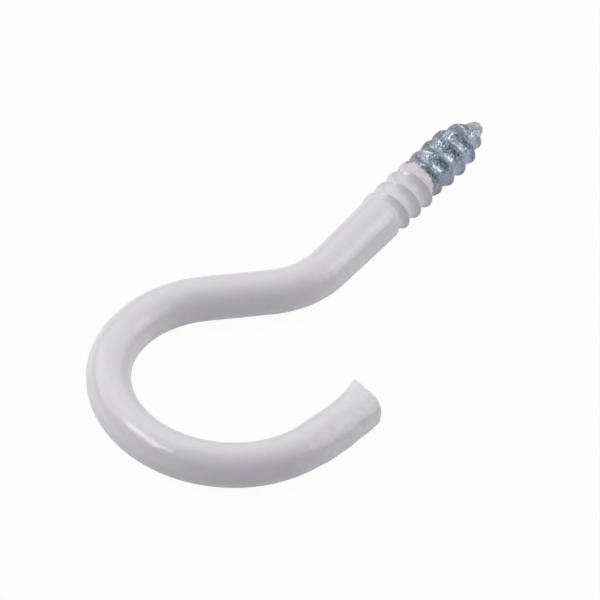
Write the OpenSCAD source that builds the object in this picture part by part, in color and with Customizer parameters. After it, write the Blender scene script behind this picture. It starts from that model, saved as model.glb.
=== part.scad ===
// Screw hook: one length of steel wire, bent to an open ring, with a rolled
// wood-screw thread and a gimlet point. A white coat covers all but the point.
// The hook lies flat. +X runs along the shank to the point, and Z is up.

/* [Wire] */
// Diameter of the coated wire round the hook
wire_d = 4.4; // [3.6:0.1:4.8]
// Diameter of the coated shank where the thread starts
shank_d = 4.65; // [4.4:0.05:4.9]
// Thickness of the white coat on the thread
coat_t = 0.07; // [0.04:0.01:0.15]

/* [Hook] */
// Radius of the ring, to the middle of the wire
ring_r = 11.65; // [8:0.05:16]
// Angle that the ring turns through
ring_turn = 214.5; // [190:0.5:235]
// Radius of the bend between the shank and the ring, to the middle of the wire
neck_r = 9.25; // [5:0.25:14]
// Angle that the neck bend turns through
neck_turn = 44; // [30:1:55]
// Straight run of wire between the neck bend and the ring
neck_run = 6.4; // [1:0.1:12]
// Straight run of wire from the ring to the cut end
tail_run = 7.5; // [4:0.1:12]

/* [Cut end] */
// Radius that the shear leaves round the rim of the cut end
rim_r = 0.2; // [0.1:0.05:0.6]
// Depth of the corner that the shear rolls over, where its blade went in
roll_cut = 0.6; // [0.2:0.05:1.2]
// Place of that corner round the wire, as an angle up from the hook's inner side
roll_turn = 195; // [150:5:240]
// Length of the burr that the shear drags out, along its own axis
burr_len = 2.6; // [2.2:0.1:2.8]
// Radius of the burr at its root, inside the wire
burr_r = 1.6; // [0.8:0.1:1.6]
// Radius of the burr at its tip
burr_tip = 0.2; // [0.05:0.01:0.3]
// Angle between the burr and the wire
burr_lean = 46; // [30:1:50]
// Distance of the burr's root from the middle of the wire
burr_root = 0.9; // [0.6:0.1:1.2]
// Distance that the burr's tip stands past the cut
burr_out = 0.35; // [0.2:0.05:0.8]
// Place of the burr round the wire, as an angle up from the hook's inner side
burr_turn = 40; // [0:5:60]

/* [Shank and thread] */
// Length from the neck bend to the point
shank_len = 26.2; // [20:0.1:40]
// Length of the thread, point included
thread_len = 17.3; // [13:0.1:24]
// Distance that one turn of the thread advances
pitch = 1.95; // [1.6:0.05:2.4]
// Diameter over the crests of the bare thread
crest_d = 4.85; // [4.6:0.05:5.4]
// Diameter at the bottom of the grooves of the bare thread
root_d = 3.95; // [3.4:0.05:4.3]
// Part of the pitch that the side of the ridge towards the point takes up
front_part = 0.4; // [0.3:0.02:0.6]
// Shape of the ridge: 1 is a plain wave, and more is narrower with a wider groove
ridge_form = 2; // [1:0.1:2.6]
// Distance over which the first turn rises out of the shank
run_out = 0.5; // [0.3:0.1:1.5]
// Place of the first crest on the thread's +Y side, from the thread's start
first_crest = 0.68; // [0:0.02:2]

/* [Point] */
// Length of the tapered point
point_len = 5.3; // [3:0.1:8]
// Shape of the point: 1 is a straight cone, and more is rounder
point_form = 2; // [1:0.1:2.5]
// Diameter of the blunt tip
tip_d = 0.7; // [0.4:0.1:1.2]

/* [Coat] */
// Distance from the thread's start to the edge of the coat
coat_end = 6.6; // [3:0.1:12]
// Distance over which the coat thins out to nothing
coat_lip = 0.5; // [0.2:0.1:1.5]

/* [Hidden] */

$fn = 96;

wire_r = wire_d / 2;
shank_r = shank_d / 2;
crest_r = crest_d / 2;
root_r = root_d / 2;
tip_r = tip_d / 2;

// Where two runs join, one laps this far into the other and lies this much under it.
lap = 0.3;
under = 0.04;

// The wire's route in the hook's own plane, from the shank's bend to the cut end.
// A heading is the way the wire runs on, as an angle from +X.
function along(a) = [cos(a), sin(a)];
neck_start = 180;
ring_start = neck_start - neck_turn;
tail_start = ring_start + ring_turn;
neck_centre = [0, neck_r];
neck_end = neck_centre + neck_r * along(ring_start + 90);
ring_entry = neck_end + neck_run * along(ring_start);
ring_centre = ring_entry + ring_r * along(ring_start + 90);
ring_exit = ring_centre + ring_r * along(tail_start - 90);

// The thread starts here on the shank, and the shank's flat end is hidden in it.
thread_x = shank_len - thread_len;
point_x = shank_len - point_len;
coat_x = thread_x + coat_end;

// The thread's surface is a grid: rows follow the helix, and columns run along the axis.
rows = 12;
columns = 44;
// The first ring of points is sunk this far into the shank.
sunk = 0.5;
grid_x = thread_x - sunk;
last_row = ceil((shank_len - grid_x) / pitch + 1) * rows;

// The box round the hook, for placing it. The thread's crests reach lower than the wire.
low_x = ring_centre[0] - ring_r - wire_r;
high_y = ring_centre[1] + ring_r + wire_r;
tail_low = ring_exit + (tail_run - roll_cut) * along(tail_start) + wire_r * along(tail_start - 90);
low_y = tail_start < 360 ? tail_low[1] : ring_centre[1] - ring_r - wire_r;
rest_z = crest_r + coat_t;

// 0 at and below a, 1 at and above b, and smooth between them.
function ramp(x, a, b) =
    let (t = max(0, min(1, (x - a) / (b - a))))
    t * t * (3 - 2 * t);

// How full the thread is at x: 1 along the shank, falling to 0 at the tip.
function taper(x) = 1 - pow(max(0, (x - point_x) / point_len), point_form);

// Height of the thread's profile, from 0 in the groove to 1 on the crest.
// turn counts turns along the helix, with a whole number on each crest.
function profile(turn) =
    let (
        past = turn - floor(turn),
        off = past < front_part ? past / front_part : (1 - past) / (1 - front_part)
    )
    pow((1 + cos(180 * off)) / 2, ridge_form);

function thread_r(x, turn) =
    let (
        start = ramp(x, thread_x, thread_x + run_out),
        coat = coat_t * (1 - ramp(x, coat_x - coat_lip, coat_x)),
        cut = root_r + (crest_r - root_r) * profile(turn) + coat,
        whole = shank_r - under
    )
    tip_r + (whole + (cut - whole) * start - tip_r) * taper(x);

function grid_at(row, column) = grid_x + pitch * (row / rows - 1 + column / columns);

function grid_point(row, column) =
    let (
        x = max(grid_x, min(shank_len, grid_at(row, column))),
        angle = 360 * column / columns,
        turn = (x - thread_x - first_crest) / pitch - angle / 360,
        r = thread_r(x, turn)
    )
    [x, r * cos(angle), r * sin(angle)];

// Number of a grid point. All points before the start, or past the tip, are one.
function number(row, column) =
    let (
        r = column < columns ? row : row + rows,
        c = column % columns,
        x = grid_at(r, c)
    )
    x <= grid_x ? c : x >= shank_len ? last_row * columns + c : r * columns + c;

function whole_face(f) = f[0] != f[1] && f[1] != f[2] && f[2] != f[0];

// A straight run of wire, which laps a little way into what it joins.
module wire(length) {
    rotate([90, 0, 90]) translate([0, 0, -lap])
        cylinder(h = length + 2 * lap, r = wire_r - under);
}

module bend(radius, angle) {
    rotate_extrude(angle = angle) translate([radius, 0]) circle(wire_r);
}

// The open end of the hook, from the ring to the sheared end.
module tail() {
    difference() {
        rotate([90, 0, 90]) rotate_extrude() tail_section(wire_r - under);
        rollover();
    }
    burr();
}

// Half of the tail's long section, with the rounded rim at its far end.
module tail_section(r) {
    translate([0, -lap]) square([r, lap + tail_run - rim_r]);
    translate([0, tail_run - rim_r]) {
        square([r - rim_r, rim_r]);
        intersection() {
            translate([r - rim_r, 0]) circle(rim_r);
            square([r, rim_r]);
        }
    }
}

// What the shear presses off the corner where its blade goes in.
module rollover() {
    rotate([roll_turn, 0, 0]) translate([tail_run - roll_cut, wire_r, 0])
        rotate([0, 0, 45]) translate([0, -wire_d, -wire_d]) cube(2 * wire_d);
}

// The spur of steel that the shear drags out at the inner side of the end.
module burr() {
    rotate([burr_turn, 0, 0])
        translate([tail_run + burr_out - burr_len * cos(burr_lean), burr_root, 0])
            rotate([0, 0, burr_lean]) rotate([90, 0, 90])
                cylinder(h = burr_len, r1 = burr_r, r2 = burr_tip);
}

module hook() {
    translate([neck_centre[0], neck_centre[1], 0])
        rotate([0, 0, ring_start + 90]) bend(neck_r, neck_turn);
    translate([neck_end[0], neck_end[1], 0])
        rotate([0, 0, ring_start]) wire(neck_run);
    translate([ring_centre[0], ring_centre[1], 0])
        rotate([0, 0, ring_start - 90]) bend(ring_r, ring_turn);
    translate([ring_exit[0], ring_exit[1], 0])
        rotate([0, 0, tail_start]) tail();
}

module shank() {
    rotate([90, 0, 90]) translate([0, 0, -lap])
        cylinder(h = thread_x + lap, r1 = wire_r - under, r2 = shank_r);
}

module thread() {
    points = [
        for (row = [0 : last_row], column = [0 : columns - 1]) grid_point(row, column)
    ];
    sides = [
        for (row = [0 : last_row - 1], column = [0 : columns - 1])
            let (
                a = number(row, column),
                b = number(row, column + 1),
                c = number(row + 1, column + 1),
                d = number(row + 1, column)
            )
            each [[a, c, b], [a, d, c]]
    ];
    ends = [
        [for (column = [0 : columns - 1]) column],
        [for (column = [columns - 1 : -1 : 0]) last_row * columns + column]
    ];
    polyhedron(points, concat([for (f = sides) if (whole_face(f)) f], ends));
}

module screw_hook() {
    translate([-(shank_len + low_x) / 2, -(high_y + low_y) / 2, rest_z]) {
        color("whitesmoke") hook();
        color("whitesmoke") shank();
        color("lightsteelblue") thread();
    }
}

screw_hook();
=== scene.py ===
# %% [markdown]
# # A white screw hook
#
# This lesson dresses one small piece of hardware: a length of steel wire, bent to an open
# ring, with a wood-screw thread and a white coat that stops part of the way down the thread.
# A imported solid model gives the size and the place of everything. It could be shown as it is,
# but its surface is perfectly even, and a real hook has a ragged edge to its coat, a torn burr
# where it was cut off, and a thread that was rolled and then plated. So two new skins take
# its place: the coated wire, and the bare end of the thread.

# %% Load the frame
import math

import bmesh
import bpy
from mathutils import Matrix, Vector, noise


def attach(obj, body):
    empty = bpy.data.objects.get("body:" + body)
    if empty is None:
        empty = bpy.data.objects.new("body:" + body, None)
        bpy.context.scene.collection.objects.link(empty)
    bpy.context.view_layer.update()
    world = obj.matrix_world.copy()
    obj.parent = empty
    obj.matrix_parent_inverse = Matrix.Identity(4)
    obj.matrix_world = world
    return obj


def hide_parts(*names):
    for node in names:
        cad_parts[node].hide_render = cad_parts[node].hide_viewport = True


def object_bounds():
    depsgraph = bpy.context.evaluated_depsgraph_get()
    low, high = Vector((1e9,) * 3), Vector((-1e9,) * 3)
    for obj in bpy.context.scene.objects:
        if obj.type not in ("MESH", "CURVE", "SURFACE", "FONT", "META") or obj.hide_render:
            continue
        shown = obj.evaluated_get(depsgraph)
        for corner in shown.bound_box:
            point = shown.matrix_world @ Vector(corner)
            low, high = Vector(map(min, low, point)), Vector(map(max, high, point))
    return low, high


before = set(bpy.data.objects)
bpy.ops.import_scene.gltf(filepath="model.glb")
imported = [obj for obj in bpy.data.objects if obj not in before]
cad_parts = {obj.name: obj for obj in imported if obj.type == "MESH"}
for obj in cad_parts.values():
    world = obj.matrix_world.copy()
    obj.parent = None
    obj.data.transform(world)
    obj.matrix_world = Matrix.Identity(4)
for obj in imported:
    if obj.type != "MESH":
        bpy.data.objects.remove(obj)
cad_low, cad_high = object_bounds()
print("solid model, mm:", [round(side * 1000, 2) for side in cad_high - cad_low])

# %% [markdown]
# ## Sizes
#
# All modelling is in millimetres, along the shank: X runs to the point, and the neck bend
# starts at X = 0. The hook was bent from one wire, so its route is a short list of runs and
# bends. Working it out again from those few sizes keeps the skins on the solid model, and the
# model's own box says where the route lies in the world.

# %% Sizes of the wire, its route and its thread, in millimetres and degrees
WIRE_R, SHANK_R = 2.2, 2.325
RING_R, RING_TURN = 11.65, 214.5
NECK_R, NECK_TURN, NECK_RUN = 9.25, 44, 6.4
TAIL_RUN = 7.5
SHANK_LEN, THREAD_LEN = 26.2, 17.3
PITCH, CREST_R, ROOT_R = 1.95, 2.425, 1.975
FIRST_CREST, RUN_OUT = 0.68, 0.5
POINT_LEN = 5.3
COAT_T = 0.07
THREAD_X = SHANK_LEN - THREAD_LEN
POINT_X = SHANK_LEN - POINT_LEN


def along(degrees):
    """A unit step in the hook's plane, at an angle from +X."""
    return Vector((math.cos(math.radians(degrees)), math.sin(math.radians(degrees)), 0))


def across(degrees):
    """A unit step across the shank, at an angle round it from +Y towards +Z."""
    return Vector((0, math.cos(math.radians(degrees)), math.sin(math.radians(degrees))))


# %% The route of the wire, from the neck bend to the cut end
RING_START = 180 - NECK_TURN
TAIL_START = RING_START + RING_TURN
neck_centre = Vector((0, NECK_R, 0))
neck_end = neck_centre + NECK_R * along(RING_START + 90)
ring_entry = neck_end + NECK_RUN * along(RING_START)
ring_centre = ring_entry + RING_R * along(RING_START + 90)
ring_exit = ring_centre + RING_R * along(TAIL_START - 90)
tail_way = along(TAIL_START)
tail_end = ring_exit + TAIL_RUN * tail_way
print("ring centre, mm:", [round(value, 2) for value in ring_centre])

# %% The step from the shank's millimetres to the model's metres
MM = 0.001
shank_place = Vector((
    cad_high.x / MM - SHANK_LEN,
    cad_high.y / MM - (ring_centre.y + RING_R + WIRE_R),
    cad_low.z / MM + CREST_R + COAT_T,
))
to_model = Matrix.Scale(MM, 4) @ Matrix.Translation(shank_place)
print("neck bend starts at, mm:", [round(value, 2) for value in shank_place])

# %% Add an object to the scene
scene = bpy.context.scene


def put_in_scene(name, data):
    """Make an object from a mesh, a camera or a lamp, and link it to the scene."""
    item = bpy.data.objects.new(name, data)
    scene.collection.objects.link(item)
    return item


# %% [markdown]
# ## Camera
#
# The camera stands well back with a long lens, past the ring's end of the hook and above it,
# and is rolled a little, as a hand-held product shot is. Its place comes from three angles and
# a distance, so each can be changed by itself. A camera looks along its own -Z, so its axes
# are built as a small matrix: right, up, and back.

# %% Camera, in degrees and millimetres, with its clip distances in metres
VIEW_TURN, VIEW_DROP, VIEW_ROLL = (math.radians(angle) for angle in (58.125, 43.753, 4.218))
VIEW_DIST, AIM_LEFT, AIM_DOWN = 1160.9, 2.826, 3.171
LENS, SENSOR = 708.95, 36
NEAREST, FARTHEST = 0.1, 20
look = Vector((math.sin(VIEW_TURN) * math.cos(VIEW_DROP),
               math.cos(VIEW_TURN) * math.cos(VIEW_DROP), -math.sin(VIEW_DROP)))
level = Vector((math.cos(VIEW_TURN), -math.sin(VIEW_TURN), 0))
right = math.cos(VIEW_ROLL) * level + math.sin(VIEW_ROLL) * level.cross(look)
up = right.cross(look)
target = shank_place - AIM_LEFT * right - AIM_DOWN * up
camera = put_in_scene("camera", bpy.data.cameras.new("camera"))
camera.data.lens, camera.data.sensor_width = LENS, SENSOR
camera.data.clip_start, camera.data.clip_end = NEAREST, FARTHEST
camera_axes = Matrix((right, up, -look)).transposed().to_4x4()
camera.matrix_world = Matrix.Translation((target - VIEW_DIST * look) * MM) @ camera_axes
scene.camera = camera
print("camera at, m:", [round(value, 3) for value in camera.location])

# %% [markdown]
# ## The skin of a thread
#
# A rolled thread is a ridge that climbs round the wire like a spiral stair. It could be cut
# into a cylinder, but a lathe's own way is simpler: take a line one pitch long, and turn it
# round the shank while it moves along. Blender's spin operator does this when it is given a
# step along the axis. One turn is enough, because each turn starts where the last one ended:
# copies of it are moved along by a pitch, and merging the doubles joins them to one skin. Its
# rows follow the ridge, so no facet cuts across a crest. The skin is made on a plain round
# bar first, and two flat cuts square its ends.

# %% Turn a line one pitch long round the shank
COLUMNS, STEPS = 30, 96
SAME_POINT, ON_CUT, IN_PLANE = PITCH / COLUMNS / 20, 1e-5, 1e-3


def helical_skin(start, end):
    """A round skin of radius 1 about the X axis, with rows that follow the thread."""
    mesh = bmesh.new()
    first = start - PITCH
    line = [mesh.verts.new((first + PITCH * i / COLUMNS, 1, 0)) for i in range(COLUMNS + 1)]
    edges = [mesh.edges.new(pair) for pair in zip(line, line[1:])]
    bmesh.ops.spin(mesh, geom=line + edges, cent=(0, 0, 0), axis=(1, 0, 0),
                   dvec=(PITCH / STEPS, 0, 0), angle=math.tau, steps=STEPS)
    one_turn = mesh.verts[:] + mesh.edges[:] + mesh.faces[:]
    for turn in range(1, math.ceil((end - first) / PITCH) + 1):
        copy = bmesh.ops.duplicate(mesh, geom=one_turn)["geom"]
        verts = [item for item in copy if isinstance(item, bmesh.types.BMVert)]
        bmesh.ops.translate(mesh, verts=verts, vec=(PITCH * turn, 0, 0))
    bmesh.ops.remove_doubles(mesh, verts=mesh.verts, dist=SAME_POINT)
    for x, clear in ((start, "clear_inner"), (end, "clear_outer")):
        everything = mesh.verts[:] + mesh.edges[:] + mesh.faces[:]
        bmesh.ops.bisect_plane(mesh, geom=everything, plane_co=(x, 0, 0), plane_no=(1, 0, 0),
                               dist=ON_CUT, **{clear: True})
    return mesh


def end_loop(mesh, x):
    """The open edges of a skin that lie in the plane of one x."""
    return [edge for edge in mesh.edges
            if edge.is_boundary and all(abs(vert.co.x - x) < IN_PLANE for vert in edge.verts)]


# %% [markdown]
# ## The form of the ridge
#
# The height of the thread depends mostly on two things: how far along the shank a point is,
# and how far past the last crest it is. A few short functions hold that form, and every vertex
# of the skin is moved to the radius that they give. The core is straight and then tapers to
# the gimlet point. The ridge on it comes up to a sharp crest between hollow sides, over a wide
# groove, and its side towards the point is the shorter one. The ridge rises out of the shank
# at its start, where the rolled-up steel is piled on one side, and it stops short of the tip,
# so that a plain blunt nib is left. One crest is worn down just past the coat.

# %% Smooth steps and angles round the shank
def ramp(x, a, b):
    """0 up to a, 1 from b on, and smooth between them."""
    t = max(0.0, min(1.0, (x - a) / (b - a)))
    return t * t * (3 - 2 * t)


def angle_of(point):
    """The angle round the shank, from +Y towards +Z, in turns."""
    return math.atan2(point.z, point.y) / math.tau


def facing(around, turn):
    """1 on the side of the shank at one angle, and -1 on the side away from it."""
    return math.cos((around - turn) * math.tau)


# %% How high the ridge stands at any place on the thread
FRONT_PART, RIDGE_FORM = 0.4, 2.15


def off_crest(x, around):
    """0 on a crest of the thread, and 1 at the bottom of its groove."""
    past = ((x - THREAD_X - FIRST_CREST) / PITCH - around) % 1
    return past / FRONT_PART if past < FRONT_PART else (1 - past) / (1 - FRONT_PART)


def ridge(x, around):
    """0 in a groove of the thread, and 1 on its crest."""
    return (1 - off_crest(x, around)) ** RIDGE_FORM


# %% Core of the thread, and the two places where its ridge isn't even
NIB_R, NIB_ROUND, CORE_FORM = 0.44, 0.8, 1.7
# The pile's width is read from facing, and the worn crest's is in turns.
PILE_X, PILE_LONG = 9.2, (0.1, 0.6)
PILE_TURN, PILE_WIDE = 30 / 360, (0.3, 0.9)
WORN_X, WORN_LONG = 16.6, (0.3, 1.0)
WORN_TURN, WORN_WIDE = 209 / 360, (0.02, 0.16)


def core_radius(x):
    """The wire under the thread: straight, then down to the nib, and round at its end."""
    taper = max(0.0, (x - POINT_X) / POINT_LEN) ** CORE_FORM
    nib_end = max(0.0, 1 - (SHANK_LEN - x) / NIB_R)
    return (ROOT_R + (NIB_R - ROOT_R) * taper) * math.sqrt(1 - NIB_ROUND * nib_end ** 2)


def piled(x, around):
    """1 where rolling has piled up steel at the start of the thread, and 0 away from it."""
    return (1 - ramp(abs(x - PILE_X), *PILE_LONG)) * ramp(facing(around, PILE_TURN), *PILE_WIDE)


def worn(x, around):
    """1 in the middle of the one crest that is worn down, and 0 away from it."""
    beside = abs((around - WORN_TURN + 0.5) % 1 - 0.5)
    return (1 - ramp(abs(x - WORN_X), *WORN_LONG)) * (1 - ramp(beside, *WORN_WIDE))


# %% Radius of the steel at any place
RIDGE_LOW, RIDGE_END, RIDGE_STOP = 22, 24.2, 25.2
RIDGE_LOSS, RUN_IN = 0.2, 0.25
PILE_H, WORN_DEEP = 0.13, 0.16


def bare_radius(x, around):
    """Radius of the steel: the shank, then the ridge of the thread on its core."""
    full = 1 - RIDGE_LOSS * ramp(x, RIDGE_LOW, RIDGE_END)
    full -= (1 - RIDGE_LOSS) * ramp(x, RIDGE_END, RIDGE_STOP)
    threaded = core_radius(x) + (CREST_R - ROOT_R) * full * ridge(x, around)
    plain = WIRE_R + (SHANK_R - WIRE_R) * x / THREAD_X - COAT_T
    radius = plain + (threaded - plain) * ramp(x, THREAD_X - RUN_IN, THREAD_X + RUN_OUT)
    return radius + PILE_H * piled(x, around) - WORN_DEEP * worn(x, around)


# %% Move a skin to a radius, and lean the thread a little off the shank's line
AHEAD, HOLLOW = 0.1 * PITCH, (0.5, 0.85)
LEAN, LEAN_FROM, LEAN_BLEND, LEAN_WAY = 0.012, 14.0, 2, across(209)


def set_radius(mesh, radius):
    """Move each vertex of a skin to radius(x, around), and store what the finishes read.

    "rising" is how steeply the ridge climbs towards the point, and "hollow" is 1 in a groove.
    """
    rising = mesh.verts.layers.float.new("rising")
    hollow = mesh.verts.layers.float.new("hollow")
    for vert in mesh.verts:
        around = angle_of(vert.co)
        x, reach = vert.co.x, radius(vert.co.x, around)
        climb = ridge(x + AHEAD, around) - ridge(x, around)
        vert[rising] = max(0.0, climb) * ramp(x, THREAD_X, THREAD_X + RUN_OUT)
        vert[hollow] = ramp(off_crest(x, around), *HOLLOW)
        vert.co.y = reach * math.cos(around * math.tau)
        vert.co.z = reach * math.sin(around * math.tau)


def lean(mesh):
    """Bend the thread's own axis, as rolling leaves it."""
    for vert in mesh.verts:
        on_thread = ramp(vert.co.x, THREAD_X - LEAN_BLEND, THREAD_X + LEAN_BLEND)
        vert.co += LEAN_WAY * LEAN * (vert.co.x - LEAN_FROM) * on_thread


# %% [markdown]
# ## The edge of the coat
#
# The hook was dipped ring first, so the coat stops at a waterline that is not quite square to
# the shank, and it is ragged where it dried. The coat could be a thin shell, but shells that
# lie this close to another surface flicker. Here the coated skin stays a little outside the
# steel, and at its edge it dives under the steel's surface. The line where the two cross is
# the edge that shows, and noise in the waterline makes it ragged.

# %% Noise that is the same for both skins
NOISE_R = 2


def rumple(x, around, lumps):
    """Noise at a place on the shank, added up from pairs of a scale and a share."""
    y, z = NOISE_R * math.cos(around * math.tau), NOISE_R * math.sin(around * math.tau)
    spot = Vector((x, y, z))
    return sum(share * noise.noise(spot * scale) for scale, share in lumps)


# %% Thickness of the coat, with its ragged edge
EDGE_X, EDGE_SLANT, EDGE_TURN = 15.35, 0.3, 75 / 360
EDGE_RAGGED, EDGE_LUMPS = 0.22, ((1.1, 1), (3.1, 0.6), (7, 0.4))
EDGE_LIP, EDGE_DIVE = 0.45, 0.1


def coat_edge(x, around):
    """How far along the shank the coat reaches at this place."""
    ragged = rumple(x, around, EDGE_LUMPS)
    return EDGE_X + EDGE_SLANT * facing(around, EDGE_TURN) + EDGE_RAGGED * ragged


def coat_over(x, around):
    """1 where the coat is whole, and 0 past its edge."""
    edge = coat_edge(x, around)
    return 1 - ramp(x, edge - EDGE_LIP, edge + EDGE_LIP)


def coated_radius(x, around):
    """Radius of the coated skin, which dives under the steel where the coat ends."""
    return bare_radius(x, around) - EDGE_DIVE + (COAT_T + EDGE_DIVE) * coat_over(x, around)


# %% Coated shank and thread
COAT_START, COAT_STOP = 0, 17.9
coat = helical_skin(COAT_START, COAT_STOP)
set_radius(coat, coated_radius)
thinning = coat.verts.layers.float.new("thin")
for vert in coat.verts:
    vert[thinning] = 1 - coat_over(vert.co.x, angle_of(vert.co))
lean(coat)
bmesh.ops.edgeloop_fill(coat, edges=end_loop(coat, COAT_STOP))
print("coated shank and thread:", len(coat.faces), "faces")

# %% [markdown]
# ## Bending the wire
#
# A bending machine pushes the wire forward, and swings it round a pin. The same two moves
# build the skin: a sweep takes the open end of the shank, and either turns it about the
# centre of a bend or pushes it straight on. The spin operator does both, since a spin with no
# angle and a step is a straight push. Each sweep starts from the last one's end loop, so the
# whole wire is one closed skin with no joints.

# %% Neck, ring and tail
def sweep(mesh, edges, steps, turn=0, centre=(0, 0, 0), push=(0, 0, 0)):
    """Swing a loop of edges about a centre, or push it on, and return the loop it ends as."""
    swept = bmesh.ops.spin(mesh, geom=edges, cent=centre, axis=(0, 0, 1), dvec=push,
                           angle=math.radians(turn), steps=steps)
    return [item for item in swept["geom_last"] if isinstance(item, bmesh.types.BMEdge)]


RIM_R = 0.2
NECK_STEPS, RUN_STEPS, RING_STEPS, TAIL_STEPS = 24, 12, 120, 58
loop = end_loop(coat, COAT_START)
loop = sweep(coat, loop, NECK_STEPS, turn=-NECK_TURN, centre=neck_centre)
loop = sweep(coat, loop, RUN_STEPS, push=along(RING_START) * NECK_RUN / RUN_STEPS)
loop = sweep(coat, loop, RING_STEPS, turn=RING_TURN, centre=ring_centre)
loop = sweep(coat, loop, TAIL_STEPS, push=tail_way * (TAIL_RUN - RIM_R) / TAIL_STEPS)
print("with the hook:", len(coat.faces), "faces")

# %% Cap the cut end with a rounded rim and rings that run in to its middle
RIM_STEPS, CAP_RINGS = 4, 10


def close_ring(mesh, edges, forward, reach):
    """Extrude a loop of the end forward, and bring it to a new reach from the wire's middle."""
    out = bmesh.ops.extrude_edge_only(mesh, edges=edges)["geom"]
    verts = [item for item in out if isinstance(item, bmesh.types.BMVert)]
    spread = max((vert.co - tail_end).cross(tail_way).length for vert in verts)
    bmesh.ops.translate(mesh, verts=verts, vec=tail_way * forward)
    middle = tail_end + tail_way * (verts[0].co - tail_end).dot(tail_way)
    bmesh.ops.scale(mesh, verts=verts, vec=Vector((1, 1, 1)) * (reach / spread),
                    space=Matrix.Translation(-middle))
    return [item for item in out if isinstance(item, bmesh.types.BMEdge)]


for i in range(1, RIM_STEPS + 1):
    before, after = (math.radians(90 * k / RIM_STEPS) for k in (i - 1, i))
    loop = close_ring(coat, loop, RIM_R * (math.sin(after) - math.sin(before)),
                      WIRE_R - RIM_R * (1 - math.cos(after)))
for i in range(1, CAP_RINGS):
    loop = close_ring(coat, loop, 0, (WIRE_R - RIM_R) * (1 - i / CAP_RINGS))
bmesh.ops.edgeloop_fill(coat, edges=loop)
print("open edges left:", sum(edge.is_boundary for edge in coat.edges))

# %% [markdown]
# ## The sheared end
#
# The wire was cut by a shear. Its blade rolls the steel over where it goes in, on the outer
# side, and tears a burr where it comes out, on the inner side. Behind the cut, the clamp that
# held the wire has pressed its outer side a little proud. The plain cap is pulled to that form
# by moving its vertices: each one's place is read as a distance along the tail, an angle round
# the wire and a distance from its middle, and all three are easy to bend.

# %% Nearness to one side of the wire, and to its cut
def nearness(turn, centre, width):
    """1 at an angle, falling in a straight line to 0 at a width either side of it."""
    return max(0.0, 1 - abs((turn - centre + 180) % 360 - 180) / width)


def near_cut(run, length):
    """1 at the cut, falling in a curve to 0 at a length behind it."""
    return max(0.0, 1 + run / length) ** 2


# %% Roll one side of the end over, and pull a burr out of the other
BURR_TURN, BURR_WIDTH, BURR_FORM = 47, 36, 1.3
BURR_RUN, BURR_RISE, BURR_OUT = 4.4, 0.8, 0.24
ROLL_TURN, ROLL_WIDTH, ROLL_FULL = 207, 84, 0.8
ROLL_RUN, ROLL_IN, ROLL_BACK = 3.0, 0.2, 0.18
CLAMP_NEAR, CLAMP_FAR, CLAMP_OUT = (2.6, 4.6), (7.0, 8.6), 0.13
MIDDLE, OFF_TAIL = 1e-3, WIRE_R + 0.15
tail_in = along(TAIL_START + 90)
for vert in coat.verts:
    from_end = vert.co - tail_end
    run, inward, height = from_end.dot(tail_way), from_end.dot(tail_in), vert.co.z
    reach = math.hypot(inward, height)
    if run < -CLAMP_FAR[1] or not MIDDLE <= reach <= OFF_TAIL:
        continue
    turn = math.degrees(math.atan2(height, inward))
    outer = reach / WIRE_R
    burr = nearness(turn, BURR_TURN, BURR_WIDTH) ** BURR_FORM
    flare = near_cut(run, BURR_RUN) * burr * outer ** 3
    roll = ramp(nearness(turn, ROLL_TURN, ROLL_WIDTH), 0, ROLL_FULL)
    dip = near_cut(run, ROLL_RUN) * roll
    proud = ramp(-run, *CLAMP_NEAR) * (1 - ramp(-run, *CLAMP_FAR))
    pressed = CLAMP_OUT * proud * roll - ROLL_IN * dip
    stretch = (1 + BURR_RISE * flare / WIRE_R) * (1 + pressed * outer / WIRE_R)
    shift = BURR_OUT * flare * burr - ROLL_BACK * dip * outer ** 2
    vert.co += tail_way * shift
    vert.co += (tail_in * inward + Vector((0, 0, height))) * (stretch - 1)
burr_tip = max((vert.co - tail_end).dot(tail_way) for vert in coat.verts)
print("burr reaches past the cut, mm:", round(burr_tip, 2))

# %% [markdown]
# ## The bare thread
#
# The rest of the thread is the same ridge without its coat. It starts well inside the coat,
# so the two skins overlap, and it ends in the blunt nib. Rolling and plating leave steel
# rough, so noise moves its surface by a few hundredths of a millimetre, and more on the nib,
# which is torn where the blank was pinched off. Past its edge the coat also left a haze on the
# steel: a long run of it on the inner side and a short splash on the outer one. A haze has no
# thickness to model, so its strength is stored on the skin for the finish to read.

# %% Bare thread
STEEL_START, STEEL_STOP = 13.5, SHANK_LEN
ROUGH, NIB_ROUGH, ROUGH_LUMPS = 0.03, 0.1, ((2.3, 1), (5.1, 0.6))
NIB_TORN = (SHANK_LEN - 1.6, SHANK_LEN - 0.9)


def steel_radius(x, around):
    """Radius of the bare steel, with the roughness that rolling and plating leave."""
    rough = ROUGH + NIB_ROUGH * ramp(x, *NIB_TORN)
    return bare_radius(x, around) + rough * rumple(x, around, ROUGH_LUMPS)


steel = helical_skin(STEEL_START, STEEL_STOP)
set_radius(steel, steel_radius)
print("bare thread:", len(steel.faces), "faces")

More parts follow.
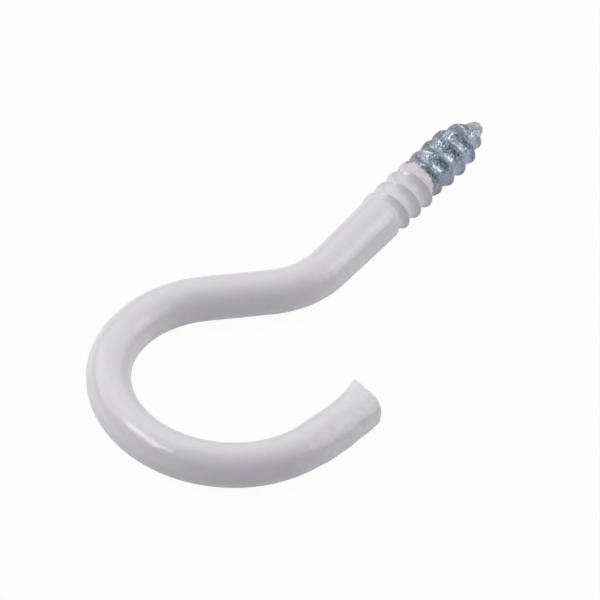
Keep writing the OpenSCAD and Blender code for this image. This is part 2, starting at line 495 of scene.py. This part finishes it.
# %% Haze of coat past its edge
HAZE_SHORT, HAZE_LONG, HAZE_TURN, HAZE_WIDE = 0.35, 4.2, 20 / 360, (0.2, 1)
SPLASH_LONG, SPLASH_TURN, SPLASH_WIDE = 1.3, 195 / 360, (0.7, 0.95)
HAZE_THIN, HAZE_FULL = 0.3, 0.5
haze = steel.verts.layers.float.new("haze")
for vert in steel.verts:
    around = angle_of(vert.co)
    long = ramp(facing(around, HAZE_TURN), *HAZE_WIDE)
    splash = ramp(facing(around, SPLASH_TURN), *SPLASH_WIDE)
    reach = HAZE_SHORT + HAZE_LONG * long + SPLASH_LONG * splash
    thick = HAZE_THIN + (1 - HAZE_THIN) * max(ramp(long, 0, HAZE_FULL), splash)
    vert[haze] = thick * (1 - ramp(vert.co.x - coat_edge(vert.co.x, around), 0, reach))
print("hazy places on the bare thread:", sum(vert[haze] > 0 for vert in steel.verts))

# %% Lean the bare thread as the coated one leans, and close its ends
lean(steel)
for x in (STEEL_START, STEEL_STOP):
    bmesh.ops.edgeloop_fill(steel, edges=end_loop(steel, x))
print("open edges left:", sum(edge.is_boundary for edge in steel.edges))


# %% Turn a finished skin into a piece of the model
def finish_piece(name, mesh):
    """Move a skin to its place in metres, face it outwards, and make it ride with the hook."""
    bmesh.ops.recalc_face_normals(mesh, faces=mesh.faces)
    mesh.transform(to_model)
    data = bpy.data.meshes.new(name)
    mesh.to_mesh(data)
    mesh.free()
    data.shade_smooth()
    piece = put_in_scene(name, data)
    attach(piece, "root")
    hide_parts("screw_hook")
    print(name + ":", len(data.polygons), "faces")
    return piece


coated_wire = finish_piece("coated_wire", coat)
bare_thread = finish_piece("bare_thread", steel)

# %% [markdown]
# ## Mixing finishes
#
# A finish is a small tree of nodes. Wiring a tree by hand takes many lines, so a short class
# wraps one output of a node, and lets Python's own signs build the maths: 1 - mask adds a
# Math node. Every other node comes from one method, which takes the node's type, its
# settings, and what goes into its sockets.

# %% A link that can be added, multiplied and mixed
class Link:
    """One output of a node, in the material that it belongs to."""

    def __init__(self, finish, socket):
        self.finish, self.socket = finish, socket

    def maths(self, operation, first, second):
        """Add a Math node for two links or numbers."""
        return self.finish.node("ShaderNodeMath", {"operation": operation}, {0: first, 1: second})

    def __add__(self, other):
        return self.maths("ADD", self, other)

    def __sub__(self, other):
        return self.maths("SUBTRACT", self, other)

    def __rsub__(self, other):
        return self.maths("SUBTRACT", other, self)

    def __mul__(self, other):
        return self.maths("MULTIPLY", self, other)

    __radd__, __rmul__ = __add__, __mul__


class Finish:
    """A material in the making, with the Principled shader that it starts from."""

    def __init__(self, name):
        self.material = bpy.data.materials.new(name)
        self.material.use_nodes = True
        self.tree = self.material.node_tree
        self.shader = self.tree.nodes["Principled BSDF"]

    def node(self, kind, settings=None, inputs=None, output=0):
        """Add a node with its settings and what goes into it, and return one output."""
        made = self.tree.nodes.new(kind)
        for key, value in (settings or {}).items():
            setattr(made, key, value)
        for key, value in (inputs or {}).items():
            self.feed(made.inputs[key], value)
        return Link(self, made.outputs[output])

    def feed(self, socket, value):
        """Link an output to a socket, or give the socket a plain value."""
        if isinstance(value, Link):
            self.tree.links.new(value.socket, socket)
        else:
            socket.default_value = value

    def set(self, **values):
        """Feed the shader's inputs by name, with _ for each space."""
        for key, value in values.items():
            self.feed(self.shader.inputs[key.replace("_", " ")], value)


# %% Nodes that both finishes use for their masks
def place(finish):
    """Where a point lies on the piece, from the shank's own origin, in metres."""
    spot = finish.node("ShaderNodeTexCoord", output="Object")
    return finish.node("ShaderNodeMapping", inputs={0: spot, 1: tuple(-shank_place * MM)})


def stored(finish, name):
    """A value that was stored on the skin."""
    return finish.node("ShaderNodeAttribute", {"attribute_name": name}, output="Fac")


def grain(finish, spot, scale, detail=2.0):
    """Noise from 0 to 1 with lumps of about 1 / scale metres."""
    return finish.node("ShaderNodeTexNoise",
                       inputs={"Vector": spot, "Scale": scale, "Detail": detail})


def between(finish, value, low, high):
    """0 below low, 1 above high, and smooth between them."""
    return finish.node("ShaderNodeMapRange", {"interpolation_type": "SMOOTHSTEP"},
                       {"Value": value, "From Min": low, "From Max": high})


def patches(finish, spot, scale, low, high):
    """Noise that is pushed apart into patches of 0 and 1 with soft edges."""
    return between(finish, grain(finish, spot, scale), low, high)


def side(finish, spot, degrees, low, high):
    """1 on the side of the shank that faces an angle round it, from low to high metres out."""
    out = finish.node("ShaderNodeVectorMath", {"operation": "DOT_PRODUCT"},
                      {0: spot, 1: tuple(across(degrees))}, output="Value")
    return between(finish, out, low, high)


# %% Nodes that colour a finish and give it relief
def tint(finish, mask, plain, tinted):
    """One colour where mask is 0 and the other where it is 1."""
    return finish.node("ShaderNodeMix", {"data_type": "RGBA"},
                       {"Factor": mask, 6: plain, 7: tinted}, output=2)


def tint_over(finish, colour, tints):
    """Lay tints over a colour, one after another. Each is a mask and its own colour."""
    for mask, tinted in tints:
        colour = tint(finish, mask, colour, tinted)
    return colour


def bump(finish, height, strength, distance):
    """A relief that is drawn by shading alone, for a height from 0 to distance metres."""
    return finish.node("ShaderNodeBump", inputs={"Height": height, "Strength": strength,
                                                 "Distance": distance})


# %% [markdown]
# ## The white coat
#
# The coat is a dipped lacquer: a soft white with a faint lilac cast, glossy, and with the very
# shallow ripple that any wet coat dries with. Its colour is a little greyer on the upper side of
# the thread towards the coat's edge, and whiter on the upper side of the tail. It thins out at
# its edge, where the grey steel shows through it. The thinning was stored on the skin when its
# edge was made, so the colour follows the form exactly.

# %% Where the coat is greyer, whiter or thin, in metres from the neck bend and from the shank's middle
GREYER_ALONG, GREYER_UP = (0.0095, 0.014), (0.0004, 0.0022)
TAIL_ALONG, TAIL_OUT, TAIL_UP = (-0.027, -0.014), (0.008, 0.012), (-0.0008, 0.0014)
coating = Finish("white_coat")
spot = place(coating)
along_x = coating.node("ShaderNodeSeparateXYZ", inputs={0: spot})
# The upper side of the thread is made greyer towards the coat's edge, and the upper side of the
# tail whiter.
greyer_thread_top = between(coating, along_x, *GREYER_ALONG) * side(coating, spot, 85, *GREYER_UP)
whiter_tail_top = side(coating, spot, 180, *TAIL_OUT) * side(coating, spot, 90, *TAIL_UP)
whiter_tail_top = whiter_tail_top * between(coating, along_x, *TAIL_ALONG)
uneven = stored(coating, "thin") * (0.6 + 0.8 * grain(coating, spot, 2600.0))
see_through = between(coating, uneven, 0.25, 0.85)
print("nodes that say where the coat is thin:", len(coating.tree.nodes))

# %% White coat
LILAC_WHITE, PLAIN_WHITE = (0.768, 0.75, 0.778, 1), (0.765, 0.76, 0.768, 1)
GREYER_WHITE, TAIL_TOP_WHITE = (0.62, 0.6, 0.63, 1), (0.82, 0.815, 0.8, 1)
COAT_ON_STEEL = (0.4, 0.37, 0.43, 1)
body = tint(coating, patches(coating, spot, 260.0, 0.35, 0.65), LILAC_WHITE, PLAIN_WHITE)
body = tint_over(coating, body, [
    (0.5 * greyer_thread_top, GREYER_WHITE),
    (0.6 * whiter_tail_top, TAIL_TOP_WHITE),
    (see_through, COAT_ON_STEEL),
])
coating.set(Base_Color=body, Roughness=0.14 + 0.1 * grain(coating, spot, 1400.0),
            Normal=bump(coating, grain(coating, spot, 600.0), 0.32, 0.0003))
coated_wire.data.materials.append(coating.material)
print("nodes in the white coat:", len(coating.tree.nodes))

# %% [markdown]
# ## Zinc plating
#
# Zinc on rolled steel is a blue-grey mirror that has gone dull. On the upper side its colour is
# crystalline: dark pits and facets a fifth of a millimetre across, and many facets are painted
# white as glints, which is painted highlight. Lower down it is nearly smooth, and the grooves,
# which the rollers pressed hardest, are smoother than the ridges. A dark band of painted shade
# runs on the steep flank just behind each crest, the inner side is a darker grey, the haze of
# the coat is a lilac crust on the first bare turns, and the torn nib shows plain grey steel.
# Each of these is a mask, and each mask tints the colour below it.

# %% Crystals of the plating
SWIRL_SCALE, SWIRL_SHIFT = 0.6, 0.6
plating = Finish("zinc_plate")
spot = place(plating)


def crystals(finish, spot, scale):
    """A number from 0 to 1 for each crystal. They are about 1 / scale metres across."""
    swirl = finish.node("ShaderNodeTexNoise",
                        inputs={"Vector": spot, "Scale": scale * SWIRL_SCALE}, output="Color")
    swirled = finish.node("ShaderNodeVectorMath", {"operation": "MULTIPLY_ADD"},
                          {0: swirl, 1: (SWIRL_SHIFT / scale,) * 3, 2: spot})
    cells = finish.node("ShaderNodeTexVoronoi", inputs={"Vector": swirled, "Scale": scale},
                        output="Color")
    return finish.node("ShaderNodeSeparateColor", inputs={0: cells})


cell = crystals(plating, spot, 5000.0)
print("nodes for the crystals:", len(plating.tree.nodes))

# %% Where the plating is pitted, has painted glints or painted shade, is hazy or torn, in metres
UPPER_OUT, INNER_OUT = (0.0006, 0.0016), (0.0004, 0.0016)
NIB_BARE = ((SHANK_LEN - 1.8) * MM, (SHANK_LEN - 1.1) * MM)
upper = 0.25 + 0.75 * side(plating, spot, 97, *UPPER_OUT)
inner = side(plating, spot, 15, *INNER_OUT)
along_x = plating.node("ShaderNodeSeparateXYZ", inputs={0: spot})
nib = between(plating, along_x + 0.0005 * grain(plating, spot, 2500.0), *NIB_BARE)
# Painted shade: the steep flank just behind each crest, where the ridge climbs, is darkened.
shaded_flank = between(plating, stored(plating, "rising"), 0.24, 0.31)
hazy = stored(plating, "haze")
smoothed = stored(plating, "hollow") * (1 - nib)
pits = patches(plating, spot, 4600.0, 0.46, 0.6) * upper * (1 - 0.4 * smoothed)
gleaming = 0.3 + 0.7 * patches(plating, spot, 1300.0, 0.35, 0.65)
# Painted highlight: bright facets on the upper side are painted white as glints.
glinting_facet = between(plating, cell, 0.7, 0.95) * upper * gleaming
print("nodes with the masks:", len(plating.tree.nodes))

# %% Zinc plating
DULL_BLUE, PALE_BLUE = (0.24, 0.325, 0.455, 1), (0.45, 0.54, 0.65, 1)
INNER_GREY, UPPER_GREY = (0.225, 0.225, 0.25, 1), (0.44, 0.53, 0.57, 1)
# Painted light among these: a dark shade for the flank behind each crest, and a white for glints
# on the facets.
FLANK_SHADE, PIT_GREY, GLINT_WHITE = (0.13, 0.16, 0.2, 1), (0.1, 0.13, 0.15, 1), (0.8, 0.9, 0.94, 1)
CRUST_DARK, CRUST_PALE = (0.2, 0.185, 0.24, 1), (0.5, 0.48, 0.57, 1)
TORN_DARK, TORN_PALE = (0.4, 0.4, 0.41, 1), (0.78, 0.78, 0.8, 1)
mottle = patches(plating, spot, 3600.0, 0.42, 0.58)
colour = tint(plating, patches(plating, spot, 650.0, 0.35, 0.65), DULL_BLUE, PALE_BLUE)
colour = tint_over(plating, colour, [
    (inner * 0.85, INNER_GREY),
    (upper * 0.5, UPPER_GREY),
    # painted shade on the steep flank behind each crest
    (shaded_flank * 0.4, FLANK_SHADE),
    (pits * 0.78, PIT_GREY),
    # painted glints on the facets
    (glinting_facet, GLINT_WHITE),
    (between(plating, hazy, 0.05, 0.6) * 0.85, tint(plating, mottle, CRUST_DARK, CRUST_PALE)),
    (nib * (1 - 0.8 * pits), tint(plating, mottle, TORN_DARK, TORN_PALE)),
])
relief = (grain(plating, spot, 4200.0, 3.0) + 0.5 * cell) * upper * (1 - 0.3 * smoothed)
plating.set(Base_Color=colour, Metallic=0.55 - 0.3 * nib - 0.3 * hazy * (1 - nib),
            Roughness=0.36 - 0.14 * glinting_facet - 0.07 * smoothed,
            Normal=bump(plating, relief, 0.85, 0.00007))
bare_thread.data.materials.append(plating.material)
print("nodes in the zinc plating:", len(plating.tree.nodes))

# %% [markdown]
# ## The floor
#
# The hook lies on a white table that reaches past every side of the view. A white backdrop
# could be lit until it glows, but that much light would wash out the white coat. Here the
# floor is plain pale paper under the same lamps, and what the camera sees of it is mixed with
# a glow of strength 1. The part that isn't mixed away keeps the hook's soft shadow. Rays that
# bounce off the coat and the steel see some of that glow as well, so that they mirror a white
# table.

# %% Floor, in metres
FLOOR_SIZE = 2.0
GLOW_SEEN, GLOW_MIRRORED = 0.95, 0.45
floor_mesh = bmesh.new()
bmesh.ops.create_grid(floor_mesh, x_segments=1, y_segments=1, size=FLOOR_SIZE)
bmesh.ops.translate(floor_mesh, verts=floor_mesh.verts, vec=(0, 0, cad_low.z))
floor_data = bpy.data.meshes.new("floor")
floor_mesh.to_mesh(floor_data)
floor = put_in_scene("floor", floor_data)
print("floor at height, m:", round(cad_low.z, 4))

# %% Paper that glows for the camera
paper = Finish("paper")
paper.set(Base_Color=(0.8, 0.8, 0.8, 1), Roughness=0.9)
camera_ray, *other_rays = (paper.node("ShaderNodeLightPath", output=f"Is {ray} Ray")
                           for ray in ("Camera", "Glossy", "Transmission"))
glowing = GLOW_SEEN * (camera_ray + GLOW_MIRRORED * sum(other_rays))
glow = paper.node("ShaderNodeEmission")
mixed = paper.node("ShaderNodeMixShader",
                   inputs={0: glowing, 1: Link(paper, paper.shader.outputs[0]), 2: glow})
paper.feed(paper.tree.nodes["Material Output"].inputs[0], mixed)
floor.data.materials.append(paper.material)
print("nodes in the paper:", len(paper.tree.nodes))

# %% [markdown]
# ## Light
#
# A glossy white wire shows its lamps as streaks, so their places matter more than their
# strength. The soft lamps overhead and behind light the top, the two on the right light the
# inner side of the ring, and the small one on the left draws the bright streak round the
# ring. A weak one below it lifts the ring's outer side and the coated crests. The smallest
# lifts the shank a little, and adds sparks in the grooves of the bare thread. Between them
# they light the coat at a plain level, so that it stays a little darker than the floor.

# %% Room
ROOM_COLOUR, ROOM_STRENGTH = (0.8, 0.74, 1, 1), 0.11
scene.view_settings.view_transform = "Standard"
world = bpy.data.worlds.new("studio")
scene.world = world
world.use_nodes = True
background = world.node_tree.nodes["Background"]
background.inputs["Color"].default_value = ROOM_COLOUR
background.inputs["Strength"].default_value = ROOM_STRENGTH
print("view transform:", scene.view_settings.view_transform)


# %% Lamps, with their distances and sizes in metres
def lamp(name, azimuth, height, distance, size, watts, colour=(1, 1, 1)):
    """A soft rectangular lamp that looks at the hook from a direction and a height."""
    data = bpy.data.lights.new(name, "AREA")
    data.shape = "RECTANGLE"
    data.size, data.size_y = size
    data.energy, data.color = watts, colour
    way = along(azimuth) * math.cos(math.radians(height))
    way.z = math.sin(math.radians(height))
    item = put_in_scene(name, data)
    item.location = way * distance
    item.rotation_mode = "QUATERNION"
    item.rotation_quaternion = way.to_track_quat("Z", "Y")


lamp("overhead", 38, 55, 0.8, (1.4, 1.2), 2.15, (0.98, 1, 0.94))
lamp("behind", 90, 45, 0.8, (0.8, 0.8), 2.2)
lamp("left", 138, 49, 0.7, (0.38, 0.2), 1.65)
lamp("left_low", 96, 27, 0.7, (0.2, 0.2), 0.15)
lamp("right", -30, 35, 0.7, (0.5, 0.5), 0.85)
lamp("far_right", -55, 28, 0.7, (0.5, 0.5), 1.35)
lamp("spark", -38, 38, 0.6, (0.16, 0.16), 0.08)
